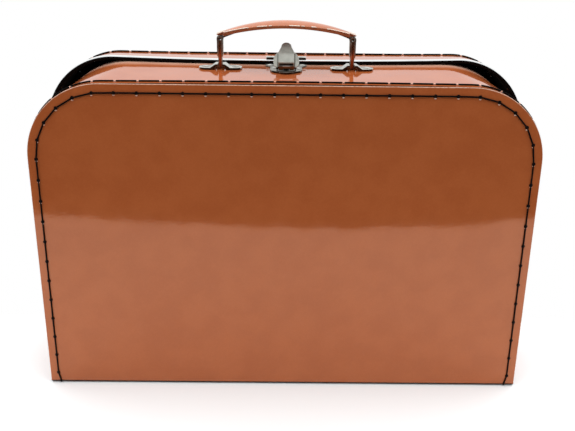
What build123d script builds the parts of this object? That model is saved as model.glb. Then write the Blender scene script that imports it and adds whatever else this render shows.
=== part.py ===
from build123d import *
from collections import namedtuple
from math import atan, cos, pi, sin, tan
import os

os.makedirs("parts", exist_ok=True)

# A small sewn suitcase of solid board, standing on its bottom edge.
# X runs along the case, Y from the face of the handle side to the lid, Z up. The origin is
# the middle of the footprint. Two D-shaped trays meet on a pair of bottom hinges: the deeper
# base carries the handle and the latch, and the lid slips over it with a steel rim.

# Driving dimensions, in millimetres
case_width = 350.0
case_height = 227.6
case_depth = 110.0
base_share = 8 / 11
base_depth = case_depth * base_share
corner_radius = 51.7
board = 1.6
fold_radius = 3.2

# How the mouth of the base and the lid depart from the outline of the face boards
front_rise = 0.6
mouth_rise = -1.4
mouth_lift = 2.8
mouth_wider = 8.3
lid_back_step = 3.0
lid_back_lift = 4.8
lid_back_rise = -0.6
lid_back_tighter = 1.7
lid_rim_step = 4.6
lid_rim_lift = 6.3
lid_rim_rise = -2.0
lid_rim_tighter = 0.7
lid_overlap = 8.0
lid_tab_gap = 1.0

# Clearances
paper_gap = 0.08
seat_gap = 0.1
running_gap = 0.03
overrun = 20.0

# The strip of each wall is bent inwards at both feet and riveted to the bottom
tab_length = 18.0
heel_radius = 3.0

# The steel channel pressed over the edge of the lid's mouth
rim_sheet = 0.6
rim_depth = 3.5
rim_grip = paper_gap
rim_nose = 0.38
rim_round = 1.3

front_y = -case_depth / 2
back_y = case_depth / 2
wall_front_y = front_y + board
wall_back_y = back_y - board
mouth_y = front_y + base_depth
lid_mouth_y = mouth_y - lid_overlap
lid_straight_y = mouth_y + lid_tab_gap
floor_top_z = board

Arch = namedtuple("Arch", "half_width height radius rise")

panel_arch = Arch(case_width / 2, case_height, corner_radius, 0)
front_arch = panel_arch._replace(rise=front_rise)
mouth_arch = Arch(case_width / 2, case_height + mouth_lift, corner_radius + mouth_wider, mouth_rise)
lid_back_arch = Arch(
    case_width / 2 + lid_back_step,
    case_height + lid_back_lift,
    corner_radius - lid_back_tighter,
    lid_back_rise,
)
lid_rim_arch = Arch(
    case_width / 2 + lid_rim_step,
    case_height + lid_rim_lift,
    corner_radius - lid_rim_tighter,
    lid_rim_rise,
)
lid_panel_arch = lid_back_arch._replace(rise=0)


def between(first, second, share):
    """The arch that a straight-sided loft has at this share of its length."""
    return Arch(*(a + (b - a) * share for a, b in zip(first, second)))


def bow(arch, inset=0):
    """Centre of the right corner, radius there, and where the bowed top line leaves it."""
    centre_x, centre_z = arch.half_width - arch.radius, arch.height - arch.radius
    slope = 2 * atan(arch.rise / centre_x)
    radius = arch.radius - inset
    join = (centre_x + radius * sin(slope), centre_z + radius * cos(slope))
    return centre_x, centre_z, radius, slope, join


def top_height(arch, x, inset=0):
    """Height of the bowed top line above x."""
    join_x, join_z = bow(arch, inset)[-1]
    slope = bow(arch, inset)[3]
    return join_z + (join_x**2 - x**2) * tan(slope / 2) / join_x


def arch_line(arch, inset, foot, tab):
    """One face of the bent strip, from foot to foot. A tab of 0 leaves the feet straight."""
    centre_x, centre_z, radius, slope, join = bow(arch, inset)
    side_x = centre_x + radius
    heel = heel_radius - inset
    middle = (pi / 2 - slope) / 2
    side_foot = foot + inset + heel if tab else foot
    for hand in (1, -1):
        if tab:
            heel_start = (hand * (side_x - heel), foot + inset)
            Line((hand * (arch.half_width - tab), foot + inset), heel_start)
            heel_middle = (
                hand * (side_x - heel + heel * sin(pi / 4)),
                foot + inset + heel - heel * cos(pi / 4),
            )
            ThreePointArc(heel_start, heel_middle, (hand * side_x, side_foot))
        Line((hand * side_x, side_foot), (hand * side_x, centre_z))
        corner_middle = (hand * (centre_x + radius * cos(middle)), centre_z + radius * sin(middle))
        ThreePointArc((hand * side_x, centre_z), corner_middle, (hand * join[0], join[1]))
    ThreePointArc(join, (0, top_height(arch, 0, inset)), (-join[0], join[1]))


def strip_face(y, arch, outer, inner, foot, tab=0):
    """Section of a wall strip in the plane at y, between two insets from the arch."""
    with BuildSketch(Plane.XZ.offset(-y)) as face:
        with BuildLine():
            arch_line(arch, outer, foot, tab)
            arch_line(arch, inner, foot, tab)
            for hand in (1, -1):
                if tab:
                    end_x = hand * (arch.half_width - tab)
                    Line((end_x, foot + outer), (end_x, foot + inner))
                else:
                    Line(
                        (hand * (arch.half_width - outer), foot),
                        (hand * (arch.half_width - inner), foot),
                    )
        make_face()
    return face.sketch


# Rivets. A head is (radius, height); one pressed in flush gets its seat below the surface.
dome_edge_share = 0.35
dome_middle_share = 0.6
dome_drop_share = 0.25


def rivet(low, high, shank, low_head, high_head):
    """A rivet on the Z axis that grips what lies between the heights low and high."""
    with BuildPart() as body:
        with BuildSketch(Plane.XZ):
            with BuildLine():
                for seat, (radius, height), way in ((low, low_head, -1), (high, high_head, 1)):
                    crown = seat + way * height
                    edge = seat + way * height * dome_edge_share
                    shoulder = (radius * dome_middle_share, crown - way * height * dome_drop_share)
                    ThreePointArc((0, crown), shoulder, (radius, edge))
                    Polyline((radius, edge), (radius, seat), (shank, seat))
                Line((shank, low), (shank, high))
                Line((0, low - low_head[1]), (0, high + high_head[1]))
            make_face()
        revolve(axis=Axis.Z)
    return body.part


def bore(places, radius, low, high):
    """Cuts upright round holes between two heights of the part in progress."""
    with BuildSketch(Plane.XY.offset(low), mode=Mode.PRIVATE) as holes:
        with Locations(*places):
            Circle(radius)
    return extrude(holes.sketch, amount=high - low, dir=(0, 0, 1), mode=Mode.PRIVATE)


# Bottom hinges: the leaves lie on the inner faces of the bottom boards and curl down round
# the pin, so that nothing stands below the bottom
hinge_leaf = 0.7
hinge_pin_radius = 0.6
knuckle_radius = 1.1
hinge_gap = 5.0
hinge_length = 34.0
hinge_leaf_width = 13.0
hinge_spacing = 210.0
hinge_knuckles = 5
hinge_knuckle_gap = 0.3
hinge_axis_y = mouth_y - hinge_gap / 2
hinge_axis_z = floor_top_z + hinge_leaf - knuckle_radius
base_floor_end_y = mouth_y - hinge_gap
lid_floor_end_y = mouth_y

# Rivets through the bottom, their outer heads pressed in flush
sink = 0.15
corner_rivet_shank = 1.5
corner_rivet_head = (3.4, 0.6)
corner_rivet_dome = (3.2, 0.9)
corner_rivet_inset = 14.0
hinge_rivet_shank = 1.0
hinge_rivet_head = (2.2, 0.5)
hinge_rivet_dome = (2.0, 0.6)
hinge_rivet_pitch = 22.0
hinge_rivet_setback = 9.0
tab_middle = (tab_length + heel_radius) / 2
base_corner_places = [
    (hand * (case_width / 2 - tab_middle), y)
    for hand in (-1, 1)
    for y in (wall_front_y + corner_rivet_inset, base_floor_end_y - corner_rivet_inset)
]
lid_corner_places = [
    (hand * (lid_back_arch.half_width - tab_middle), (lid_straight_y + wall_back_y) / 2)
    for hand in (-1, 1)
]


def hinge_places(side):
    """Rivets of both hinges on one side of the barrel: -1 in the base, 1 in the lid."""
    return [
        (hand * hinge_spacing / 2 + along * hinge_rivet_pitch / 2, hinge_axis_y + side * hinge_rivet_setback)
        for hand in (-1, 1)
        for along in (-1, 1)
    ]


def flush_holes(places, shank, head):
    """Stepped holes from below, for rivets pressed in flush with the bottom."""
    return [
        bore(places, shank, -overrun, overrun),
        bore(places, head[0] + seat_gap, -overrun, sink + head[1] + seat_gap),
    ]


base_flush_holes = flush_holes(base_corner_places, corner_rivet_shank + running_gap, corner_rivet_head)
base_flush_holes += flush_holes(hinge_places(-1), hinge_rivet_shank + running_gap, hinge_rivet_head)
lid_flush_holes = flush_holes(lid_corner_places, corner_rivet_shank + running_gap, corner_rivet_head)
lid_flush_holes += flush_holes(hinge_places(1), hinge_rivet_shank + running_gap, hinge_rivet_head)


def folded_panel(arch, face_y, inward, floor_end_y, holes):
    """A D-shaped face board whose lower edge is folded into the bottom of its tray."""
    with BuildPart() as panel:
        with BuildSketch(Plane.XZ.offset(-face_y)) as outline:
            Rectangle(2 * arch.half_width, arch.height, align=(Align.CENTER, Align.MIN))
            fillet(outline.vertices().group_by(Axis.Y)[-1], arch.radius)
        extrude(amount=-inward * board)
        with BuildSketch(Plane.XY):
            with Locations((0, (face_y + floor_end_y) / 2)):
                Rectangle(2 * arch.half_width, abs(floor_end_y - face_y))
        extrude(amount=board)
        along = panel.edges().filter_by(Axis.X)
        fillet(along.sort_by_distance((0, face_y, 0))[0], fold_radius)
        along = panel.edges().filter_by(Axis.X)
        fillet(along.sort_by_distance((0, face_y + inward * board, floor_top_z))[0], fold_radius - board)
        add(holes, mode=Mode.SUBTRACT)
    return panel


# Sewing. Holes are pricked at one pitch along the outer edge, so the stitches crowd together on
# the inset line round the corners. The base has a stitch across the middle of the top and the
# lid has a hole there: the start is the first hole's share of a pitch to the right of it.
base_seam_start = 1 / 2
lid_seam_start = 0
stitch_pitch = 15.16
seam_inset = 6.0
seam_set_back = 5.7
thread = 1.0
wall_thread = 1.3
thread_proud = 0.8
knot_radius = 1.15
knot_sides = 6
stitch_gap = 2.4
last_knot_height = 8.0


def on_outline(arch, run, inset):
    """Point at this run along the outer edge from the middle of the top, moved in by inset,
    and the angle of its outward normal from X in degrees. On the left the run is negative."""
    centre_x, centre_z = bow(arch)[:2]
    bend = arch.radius * pi / 2
    length = abs(run)
    if length <= centre_x:
        x, z, normal = length, top_height(arch, length) - inset, pi / 2
    elif length <= centre_x + bend:
        normal = pi / 2 - (length - centre_x) / arch.radius
        x = centre_x + (arch.radius - inset) * cos(normal)
        z = centre_z + (arch.radius - inset) * sin(normal)
    else:
        x, z, normal = arch.half_width - inset, centre_z - (length - centre_x - bend), 0
    angle = normal * 180 / pi
    return (x, z, angle) if run >= 0 else (-x, z, 180 - angle)


def seam(panel_shape, wall_shape, face_y, inward, start):
    """The thread of one tray: the line of stitches on its face and the dashes on its wall."""
    centre_x, centre_z = bow(panel_shape)[:2]
    half_length = centre_x + panel_shape.radius * pi / 2 + centre_z - last_knot_height
    count = int(half_length / stitch_pitch - start)
    right_runs = [(k + start) * stitch_pitch for k in range(count + 1)]
    runs = [-run for run in reversed(right_runs) if run > 0] + right_runs
    knots = [on_outline(panel_shape, run, seam_inset)[:2] for run in runs]
    wall_y = face_y + inward * (seam_set_back + wall_thread / 2)
    outer, inner = -paper_gap - thread_proud, -paper_gap
    band = strip_face(wall_y - wall_thread / 2, wall_shape, outer, inner, last_knot_height)
    with BuildPart() as sewn:
        with BuildSketch(Plane.XZ.offset(-face_y)):
            with BuildLine():
                Polyline(*knots)
            trace(line_width=thread)
            with Locations(*knots):
                RegularPolygon(knot_radius, knot_sides)
        extrude(amount=inward * thread_proud)
        extrude(band, amount=wall_thread, dir=(0, 1, 0))
        holes = [on_outline(wall_shape, run, 0) for run in runs]
        with Locations(*[Location((x, wall_y, z), (0, -angle, 0)) for x, z, angle in holes]):
            Box(4 * thread_proud, 2 * wall_thread, stitch_gap, mode=Mode.SUBTRACT)
    return sewn


# Fittings on top of the base: brackets, handle and latch
lining = 0.4
lining_reveal = 3.0
lining_foot = 8.0
lining_inset = board + paper_gap
backing_inset = lining_inset + lining + paper_gap

handle_to_mouth = 25.0
handle_half_span = 47.25
bracket_length = 31.0
bracket_width = 13.0
bracket_corner = 5.5
bracket_plate = 1.2
bracket_rivet_offset = 10.8
bracket_rivet_shank = 1.2
bracket_rivet_head = (2.5, 0.8)
backing_plate = 0.8
backing_trim = 1.5
clinched_head = (2.0, 0.6)
handle_y = mouth_y - handle_to_mouth

# Each bracket has two raised hoods that hold the spread foot of its leg
foot_radius = 1.2
foot_half_length = 2.7
hood_sheet = 1.1
hood_slot_half = 1.6
hood_room = 0.4
hood_ramp = 3.6
hood_back_bar = 2.2

# The legs are steel strip folded double, the fold making an eye round the end of the core.
# Heights are measured from the pivot; between the hoods the two halves lie close together.
leg_strip = 1.3
leg_neck_half_gap = 0.7
leg_half_gap = 1.5
leg_eye_radius = 1.65
leg_neck_height = 9.5
leg_spread_height = 13.0
leg_eye_start = 18.0
leg_bend_height = 20.0
leg_width = 7.0
leg_foot_width = 2.6
leg_taper_height = 9.0
leg_slot_width = 5.2
leg_slot_height = 3.4

# The grip, measured from the pivot of its legs
grip_past_leg = 1.95
grip_before_leg = 2.55
grip_half_length = handle_half_span + grip_past_leg
grip_half_underside = handle_half_span - grip_before_leg
grip_half_width = 9.7
grip_shoulder_half_width = 5.2
grip_end_half_width = 3.4
grip_crown = 32.9
grip_crown_under = 28.2
grip_end_under = 21.95
grip_tongue_under = 22.4
grip_end_top = 23.4
grip_dome = 2.8
core_strip = 1.2
core_half_width = 2.2
core_crown = 30.1
core_eye_radius = 0.85

# The latch: a base plate, a lever on a pin, a leaf spring and the strike on the lid
latch_to_mouth = 10.5
latch_plate = 1.0
latch_plate_half = 11.4
latch_plate_depth = 35.1
latch_ear_half = 15.0
latch_ear_front = 30.1
latch_ear_root = 25.1
latch_rivet_shank = 1.1
latch_rivet_head = (2.2, 0.7)
latch_rivet_edge = 3.2
latch_ear_rivet_back = 4.5
latch_front_rivet_back = 9.0
lever_set_back = 8.3
lever_barrel = 1.6
lever_barrel_gap = 0.2
latch_pin_radius = 0.7
latch_pin_end = 0.4
lug = 1.0
lug_gap = 0.3
lever_pitch = 45.0
lever_sheet = 1.0
block_half = 5.6
block_sheet = 0.8
block_rise = 2.2
block_start = 1.2
block_end = 9.2
block_slope = 1.0
knuckle_inner_half = 2.4
hook_reach = 13.4
hook_arm = 1.1
hook_arm_low = -0.2
hook_half = 2.2
hook_depth = 1.7
hook_root_end = 2.6
bar_front = 2.0
bar_back = 1.2
bar_top = 1.3
spring_half_width = 2.0
spring_strip = 0.3
spring_end = 9.0
spring_flat_end = 4.0
spring_rivet_back = 6.8
spring_rivet_shank = 0.8
spring_rivet_head = (1.5, 0.4)
spring_clinch = (1.5, 0.5)
strike_half = 15.0
strike_corner = 1.5
strike_bend = 0.3
strike_neck_half = 7.0
strike_tongue_half = 4.5
strike_sheet = 1.2
strike_depth = 12.0
strike_bar = 2.2
strike_slot = 0.4
strike_slope = 3.9

# The base plate's outline back from its front, on the right: a lobe, a shoulder and a cheek
latch_lobe = (4.9, 2.8)
latch_shoulder = (10.0, 7.3)
latch_cheek = 12.6

# The lever's outline up its slope, on the right: its foot, its ear and its arched tip
lever_foot = (5.2, 0.4)
lever_ear = [(6.6, -1.2), (8.3, 0.2), (9.0, 3.4), (8.5, 7.6), (7.2, 10.2)]
lever_shoulder = (5.6, 11.6)
lever_tip_side = (3.6, 16.2)
lever_tip = (0, 19.9)


def shell_arch(y):
    """Arch of the base wall's outer face at y."""
    return between(front_arch, mouth_arch, (y - wall_front_y) / (mouth_y - wall_front_y))


def lid_arch(y):
    """Arch of the lid wall's outer face at y."""
    share = (y - lid_straight_y) / (wall_back_y - lid_straight_y)
    return between(lid_rim_arch, lid_back_arch, max(share, 0))


def under_plate(pick, x_range, y_range, inset=0):
    """The highest or lowest height of the base's top below the corners of a flat plate."""
    return pick(top_height(shell_arch(y), x, inset) for x in x_range for y in y_range)


# Heights of the fittings above the walls that carry them
bracket_x_range = (handle_half_span - bracket_length / 2, handle_half_span + bracket_length / 2)
bracket_y_range = (handle_y - bracket_width / 2, handle_y + bracket_width / 2)
bracket_z = under_plate(max, bracket_x_range, bracket_y_range) + paper_gap
backing_z = under_plate(min, bracket_x_range, bracket_y_range, backing_inset)
pivot_z = bracket_z + foot_radius + seat_gap
bracket_rivet_places = [
    (hand * handle_half_span + side * bracket_rivet_offset, handle_y)
    for hand in (-1, 1)
    for side in (-1, 1)
]
latch_back_y = mouth_y - latch_to_mouth
latch_front_y = latch_back_y - latch_plate_depth
latch_ranges = (0, latch_ear_half), (latch_front_y, latch_back_y)
latch_z = under_plate(max, *latch_ranges) + paper_gap
latch_top_z = latch_z + latch_plate
latch_under_z = under_plate(min, *latch_ranges, backing_inset)
lever_y = latch_front_y + lever_set_back
latch_rivet_places = [
    (-latch_ear_half + latch_rivet_edge, latch_back_y - latch_ear_rivet_back),
    (latch_ear_half - latch_rivet_edge, latch_back_y - latch_ear_rivet_back),
    (-latch_plate_half + latch_rivet_edge, lever_y + latch_front_rivet_back),
    (latch_plate_half - latch_rivet_edge, lever_y + latch_front_rivet_back),
]
lever_z = latch_top_z + lever_barrel_gap + lever_barrel
spring_rivet_places = [(0, lever_y + spring_rivet_back)]
strike_slot_y = lever_y + hook_reach - hook_arm - strike_slot
strike_front_y = strike_slot_y - strike_bar
strike_pad_y = lid_mouth_y + rim_depth + seat_gap
strike_ends = [lid_arch(strike_pad_y), lid_arch(strike_pad_y + strike_depth)]
strike_z = max(top_height(arch, strike_half) for arch in strike_ends) + paper_gap
strike_under_z = min(top_height(arch, 0, backing_inset) for arch in strike_ends)
strike_rivet_places = [
    (hand * (strike_half - latch_rivet_edge), strike_pad_y + strike_depth / 2) for hand in (-1, 1)
]


def top_holes(places, shank):
    """Round holes through whatever lies at the top of the case."""
    return bore(places, shank + running_gap, case_height - overrun, case_height + overrun)


bracket_holes = top_holes(bracket_rivet_places, bracket_rivet_shank)
latch_holes = top_holes(latch_rivet_places, latch_rivet_shank)
spring_hole = top_holes(spring_rivet_places, spring_rivet_shank)
strike_holes = top_holes(strike_rivet_places, latch_rivet_shank)
base_top_holes = [bracket_holes, latch_holes, spring_hole]
lid_top_holes = [strike_holes]

# Base: face board with its folded bottom
base_panel = folded_panel(panel_arch, front_y, 1, base_floor_end_y, base_flush_holes)
base_panel.part.label = "base_panel"
export_step(base_panel.part, "parts/base_panel.step")

# Base: wall strip, lofted so that its corners tuck in towards the mouth
with BuildPart() as base_wall:
    wall_ends = [
        strip_face(wall_front_y, front_arch, 0, board, floor_top_z, tab_length),
        strip_face(mouth_y, mouth_arch, 0, board, floor_top_z, tab_length),
    ]
    loft(wall_ends, ruled=True)
    add([base_panel.part] + base_flush_holes + base_top_holes, mode=Mode.SUBTRACT)
base_wall.part.label = "base_wall"
export_step(base_wall.part, "parts/base_wall.step")


def lining_sheets(face_y, inward, near_arch, far_arch, near_y, far_y, holes):
    """The paper glued inside one tray: a sheet on the face board and a strip round the wall."""
    sheet_y = face_y + inward * lining_inset
    with BuildPart() as sheets:
        with BuildSketch(Plane.XZ.offset(-sheet_y)):
            with BuildLine():
                arch_line(near_arch, lining_inset, lining_foot, 0)
                half = near_arch.half_width - lining_inset
                Line((half, lining_foot), (-half, lining_foot))
            make_face()
        extrude(amount=-inward * lining)
        strip_ends = [
            strip_face(near_y, near_arch, lining_inset, lining_inset + lining, lining_foot),
            strip_face(far_y, far_arch, lining_inset, lining_inset + lining, lining_foot),
        ]
        loft(strip_ends, ruled=True)
        add(holes, mode=Mode.SUBTRACT)
    return sheets


lining_start = lining_inset + lining + paper_gap
base_lining = lining_sheets(
    front_y,
    1,
    shell_arch(front_y + lining_start),
    shell_arch(mouth_y - lining_reveal),
    front_y + lining_start,
    mouth_y - lining_reveal,
    base_top_holes,
)
base_lining.part.label = "base_lining"
export_step(base_lining.part, "parts/base_lining.step")

# Base: waxed thread through the edge of the face board and the wall
base_seam_arch = shell_arch(front_y + seam_set_back + wall_thread / 2)
base_seam_thread = seam(panel_arch, base_seam_arch, front_y, 1, base_seam_start)
base_seam_thread.part.label = "base_seam_thread"
export_step(base_seam_thread.part, "parts/base_seam_thread.step")

# Rivets that hold the wall's tabs to the bottom boards
corner_rivet = rivet(
    sink + corner_rivet_head[1],
    floor_top_z + board,
    corner_rivet_shank,
    corner_rivet_head,
    corner_rivet_dome,
)
with BuildPart() as base_corner_rivets:
    with Locations(*base_corner_places):
        add(corner_rivet)
base_corner_rivets.part.label = "base_corner_rivets"
export_step(base_corner_rivets.part, "parts/base_corner_rivets.step")

with BuildPart() as lid_corner_rivets:
    with Locations(*lid_corner_places):
        add(corner_rivet)
lid_corner_rivets.part.label = "lid_corner_rivets"
export_step(lid_corner_rivets.part, "parts/lid_corner_rivets.step")

# Lid: face board with its folded bottom
lid_panel = folded_panel(lid_panel_arch, back_y, -1, lid_floor_end_y, lid_flush_holes)
lid_panel.part.label = "lid_panel"
export_step(lid_panel.part, "parts/lid_panel.step")

# Lid: wall strip, straight where the rim grips it and tapering to the face board behind
rim_foot = floor_top_z + heel_radius
with BuildPart() as lid_wall:
    wall_ends = [
        strip_face(lid_straight_y, lid_rim_arch, 0, board, floor_top_z, tab_length),
        strip_face(wall_back_y, lid_back_arch, 0, board, floor_top_z, tab_length),
    ]
    loft(wall_ends, ruled=True)
    mouth_face = strip_face(lid_mouth_y, lid_rim_arch, 0, board, rim_foot)
    extrude(mouth_face, amount=lid_straight_y - lid_mouth_y, dir=(0, 1, 0))
    add([lid_panel.part] + lid_flush_holes + lid_top_holes, mode=Mode.SUBTRACT)
lid_wall.part.label = "lid_wall"
export_step(lid_wall.part, "parts/lid_wall.step")

# Lid: the paper lining
lid_lining = lining_sheets(
    back_y,
    -1,
    lid_arch(back_y - lining_start),
    lid_arch(lid_straight_y),
    back_y - lining_start,
    lid_straight_y,
    lid_top_holes,
)
lid_lining.part.label = "lid_lining"
export_step(lid_lining.part, "parts/lid_lining.step")

# Lid: the thread
lid_seam_arch = lid_arch(back_y - seam_set_back - wall_thread / 2)
lid_seam_thread = seam(lid_panel_arch, lid_seam_arch, back_y, -1, lid_seam_start)
lid_seam_thread.part.label = "lid_seam_thread"
export_step(lid_seam_thread.part, "parts/lid_seam_thread.step")

# Lid: bright steel channel pressed over the edge of the mouth


def rim_bar(nose_y, cover, nose_round):
    """A bar round the lid's mouth as thick as the board and this cover on both faces."""
    with BuildPart() as bar:
        end = strip_face(nose_y, lid_rim_arch, -cover, board + cover, rim_foot)
        extrude(end, amount=lid_mouth_y + rim_depth - nose_y, dir=(0, 1, 0))
        nose_edges = bar.faces().sort_by(Axis.Y)[0].edges()
        fillet(nose_edges.sort_by(SortBy.LENGTH)[2:], nose_round)
    return bar.part


with BuildPart() as lid_rim:
    rim_front_y = lid_mouth_y - rim_nose - rim_sheet
    add(rim_bar(rim_front_y, rim_grip + rim_sheet, rim_round))
    hollow = rim_bar(rim_front_y + rim_sheet, rim_grip, rim_round - rim_sheet)
    add(hollow, mode=Mode.SUBTRACT)
lid_rim.part.label = "lid_rim"
export_step(lid_rim.part, "parts/lid_rim.step")

# Hinges: leaves on the inner faces of the bottoms, with alternate knuckles on one pin
knuckle_length = hinge_length / hinge_knuckles
for hand, side in ((-1, "left"), (1, "right")):
    hinge_x = hand * hinge_spacing / 2
    for name, inward, keep in (("base", -1, 0), ("lid", 1, 1)):
        with BuildPart() as hinge_leaf_part:
            with BuildSketch(Plane.YZ.offset(hinge_x - hinge_length / 2)):
                with Locations((hinge_axis_y, hinge_axis_z)):
                    Circle(knuckle_radius)
                leaf_middle = hinge_axis_y + inward * hinge_leaf_width / 2
                with Locations((leaf_middle, floor_top_z + hinge_leaf / 2)):
                    Rectangle(hinge_leaf_width, hinge_leaf)
                with Locations((hinge_axis_y, hinge_axis_z)):
                    Circle(hinge_pin_radius + running_gap, mode=Mode.SUBTRACT)
            extrude(amount=hinge_length)
            for k in range(hinge_knuckles):
                if k % 2 != keep:
                    spare_x = hinge_x - hinge_length / 2 + (k + 1 / 2) * knuckle_length
                    reach = knuckle_radius + hinge_knuckle_gap
                    with Locations((spare_x, hinge_axis_y, hinge_axis_z)):
                        Box(knuckle_length + hinge_knuckle_gap, 2 * reach, 2 * reach, mode=Mode.SUBTRACT)
            bored = [(x, y) for x, y in hinge_places(inward) if x * hand > 0]
            add(bore(bored, hinge_rivet_shank + running_gap, 0, overrun), mode=Mode.SUBTRACT)
        hinge_leaf_part.part.label = f"{name}_hinge_leaf_{side}"
        export_step(hinge_leaf_part.part, f"parts/{name}_hinge_leaf_{side}.step")
    with BuildPart() as hinge_pin:
        with BuildSketch(Plane.YZ.offset(hinge_x - hinge_length / 2)):
            with Locations((hinge_axis_y, hinge_axis_z)):
                Circle(hinge_pin_radius)
        extrude(amount=hinge_length)
    hinge_pin.part.label = f"hinge_pin_{side}"
    export_step(hinge_pin.part, f"parts/hinge_pin_{side}.step")

hinge_rivet = rivet(
    sink + hinge_rivet_head[1],
    floor_top_z + hinge_leaf,
    hinge_rivet_shank,
    hinge_rivet_head,
    hinge_rivet_dome,
)
with BuildPart() as base_hinge_rivets:
    with Locations(*hinge_places(-1)):
        add(hinge_rivet)
base_hinge_rivets.part.label = "base_hinge_rivets"
export_step(base_hinge_rivets.part, "parts/base_hinge_rivets.step")

with BuildPart() as lid_hinge_rivets:
    with Locations(*hinge_places(1)):
        add(hinge_rivet)
lid_hinge_rivets.part.label = "lid_hinge_rivets"
export_step(lid_hinge_rivets.part, "parts/lid_hinge_rivets.step")

# Handle brackets: a pressed plate whose two hoods rise over the spread foot of the leg
hood_clear = foot_radius + seat_gap + foot_radius + seat_gap
hood_top = hood_clear + hood_sheet
hood_inner = foot_half_length + hood_room
hood_outline = [
    (hood_slot_half, hood_top),
    (hood_inner + hood_room, hood_top),
    (hood_inner + hood_room + hood_ramp, bracket_plate),
    (hood_inner + hood_room + hood_ramp, 0),
    (hood_inner + 2 * hood_room, 0),
    (hood_inner, hood_clear),
    (hood_slot_half, hood_clear),
]
for hand, side in ((-1, "left"), (1, "right")):
    bracket_x = hand * handle_half_span
    with BuildPart() as handle_bracket:
        with BuildSketch(Plane((bracket_x, handle_y, bracket_z))):
            RectangleRounded(bracket_length, bracket_width, bracket_corner)
            with Locations((0, -hood_back_bar / 2)):
                Rectangle(
                    2 * (hood_inner + 2 * hood_room),
                    bracket_width - hood_back_bar,
                    mode=Mode.SUBTRACT,
                )
        extrude(amount=bracket_plate)
        hood_front = Plane((bracket_x, handle_y - bracket_width / 2, bracket_z), (1, 0, 0), (0, -1, 0))
        with BuildSketch(hood_front):
            for way in (-1, 1):
                with BuildLine():
                    Polyline(*[(way * x, z) for x, z in hood_outline], close=True)
                make_face()
        extrude(amount=-(bracket_width - hood_back_bar))
        add(bracket_holes, mode=Mode.SUBTRACT)
    handle_bracket.part.label = f"handle_bracket_{side}"
    export_step(handle_bracket.part, f"parts/handle_bracket_{side}.step")

    with BuildPart() as backing:
        with BuildSketch(Plane((bracket_x, handle_y, backing_z - backing_plate))):
            RectangleRounded(
                bracket_length - backing_trim,
                bracket_width - backing_trim,
                bracket_corner - backing_trim / 2,
            )
        extrude(amount=backing_plate)
        add(bracket_holes, mode=Mode.SUBTRACT)
    backing.part.label = f"bracket_backing_{side}"
    export_step(backing.part, f"parts/bracket_backing_{side}.step")

bracket_rivet = rivet(
    backing_z - backing_plate,
    bracket_z + bracket_plate,
    bracket_rivet_shank,
    clinched_head,
    bracket_rivet_head,
)
with BuildPart() as bracket_rivets:
    with Locations(*bracket_rivet_places):
        add(bracket_rivet)
bracket_rivets.part.label = "bracket_rivets"
export_step(bracket_rivets.part, "parts/bracket_rivets.step")

# Handle legs: strip folded double over the grip's eye, its ends spread under the hoods
for hand, side in ((-1, "left"), (1, "right")):
    leg_x = hand * handle_half_span
    face_on = Plane((leg_x, handle_y, pivot_z), (1, 0, 0), (0, -1, 0))
    edge_on = Plane((leg_x, handle_y, pivot_z), (0, 1, 0), (1, 0, 0))
    with BuildPart() as handle_leg:
        with BuildSketch(face_on):
            with BuildLine():
                for way in (-1, 1):
                    Polyline(
                        (way * leg_neck_half_gap, 0),
                        (way * leg_neck_half_gap, leg_neck_height),
                        (way * leg_half_gap, leg_spread_height),
                        (way * leg_half_gap, leg_eye_start),
                        (way * leg_eye_radius, leg_bend_height),
                    )
                ThreePointArc(
                    (-leg_eye_radius, leg_bend_height),
                    (0, leg_bend_height + leg_eye_radius),
                    (leg_eye_radius, leg_bend_height),
                )
            trace(line_width=leg_strip)
        extrude(amount=leg_width / 2, both=True)
        with BuildSketch(edge_on):
            leg_top = leg_bend_height + leg_eye_radius + leg_strip
            with BuildLine():
                Polyline(
                    (-leg_foot_width / 2, -foot_radius),
                    (leg_foot_width / 2, -foot_radius),
                    (leg_width / 2, leg_taper_height),
                    (leg_width / 2, leg_top),
                    (-leg_width / 2, leg_top),
                    (-leg_width / 2, leg_taper_height),
                    close=True,
                )
            make_face()
        extrude(amount=leg_eye_radius + leg_strip, both=True, mode=Mode.INTERSECT)
        with BuildSketch(edge_on.offset(-foot_half_length)):
            Circle(foot_radius)
        extrude(amount=2 * foot_half_length)
        slot_x = leg_x - hand * leg_eye_radius
        with Locations((slot_x, handle_y, pivot_z + leg_bend_height + leg_slot_height / 4)):
            Box(2 * leg_strip, leg_slot_width, leg_slot_height, mode=Mode.SUBTRACT)
    handle_leg.part.label = f"handle_leg_{side}"
    export_step(handle_leg.part, f"parts/handle_leg_{side}.step")

# Grip: a steel core with an eye at each end, in a crowned cover
grip_front = Plane((0, handle_y, pivot_z), (1, 0, 0), (0, -1, 0))
core_ends = (handle_half_span, leg_bend_height)
with BuildPart() as grip_core:
    with BuildSketch(grip_front):
        with BuildLine():
            ThreePointArc((-core_ends[0], core_ends[1]), (0, core_crown), core_ends)
        trace(line_width=core_strip)
        with Locations((-core_ends[0], core_ends[1]), core_ends):
            Circle(core_eye_radius)
    extrude(amount=core_half_width, both=True)
grip_core.part.label = "grip_core"
export_step(grip_core.part, "parts/grip_core.step")

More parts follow.
